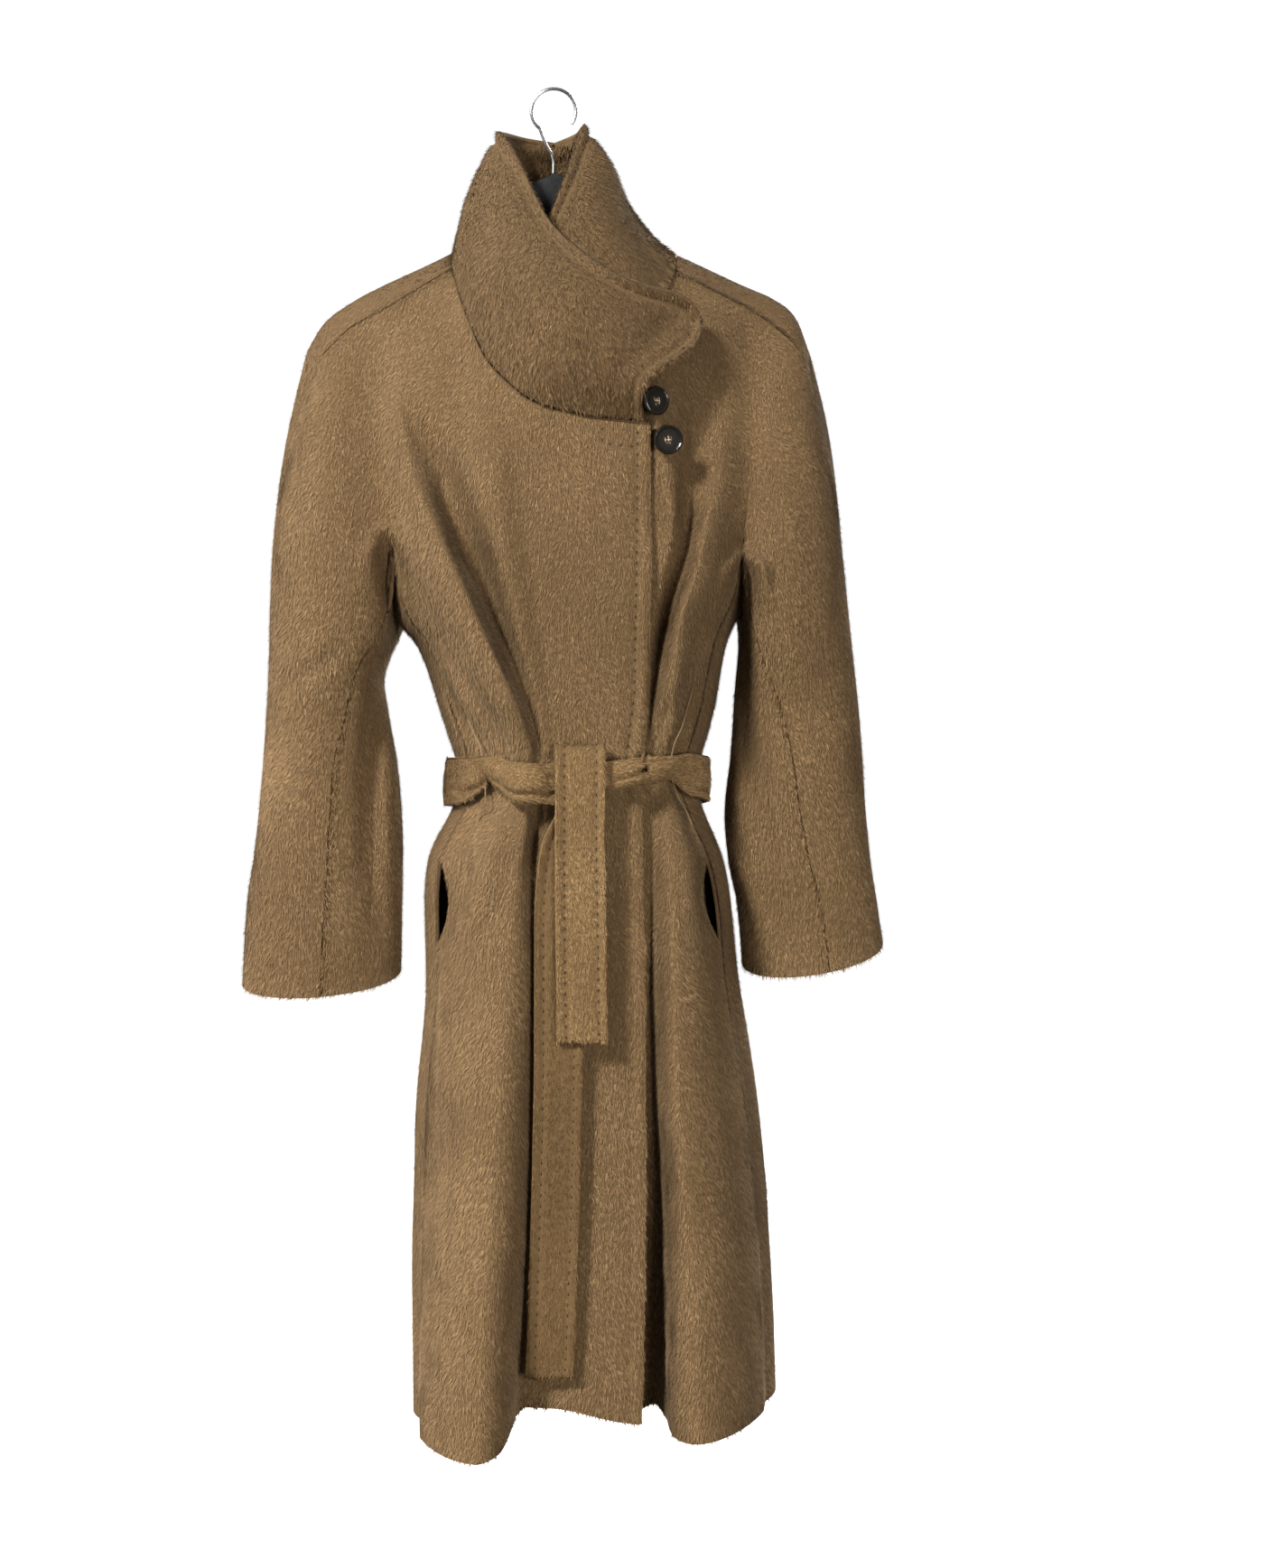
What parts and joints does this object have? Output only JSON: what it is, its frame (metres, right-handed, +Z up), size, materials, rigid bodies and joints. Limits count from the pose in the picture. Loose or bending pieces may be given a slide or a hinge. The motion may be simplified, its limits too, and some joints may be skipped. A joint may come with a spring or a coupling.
{
  "type": "belted coat on a hanger",
  "caption": "Long belted pile-cloth coat with a wide wrapped collar, lapped front, kimono sleeves and tied belt, hanging open-hemmed on a flat hanger with a wire hook.",
  "frame": {"origin": "inside top of the hanger hook's bend, where it bears on the rail", "axes": "+Z up, the coat's front faces -Y, +X to the right of someone who looks at the front"},
  "size_m": [0.5953, 0.3142, 1.2222],
  "materials": {
    "pile_cloth": "brushed brown pile",
    "pocket_cloth": "plain dark pocketing",
    "belt_cloth": "brushed brown pile, stitched along both edges",
    "thread": "twisted thread",
    "horn": "polished, dark, mottled",
    "hanger_bar": "satin black",
    "hook_wire": "bright wire"
  },
  "bodies": {
    "root": {"front_right": "pile_cloth", "front_left": "pile_cloth", "back": "pile_cloth", "under_sleeve_right": "pile_cloth", "under_sleeve_left": "pile_cloth", "collar_right": "pile_cloth", "collar_left": "pile_cloth", "pocket_right": "pocket_cloth", "pocket_left": "pocket_cloth", "belt_round": "belt_cloth", "belt_tail_short": "belt_cloth", "belt_tail_long": "belt_cloth", "belt_carrier_right": "thread", "belt_carrier_left": "thread", "button_upper": "horn", "button_lower": "horn", "button_stem_upper": "thread", "button_stem_lower": "thread", "hanger_body": "hanger_bar", "hanger_hook": "hook_wire"}
  },
  "joints": []
}
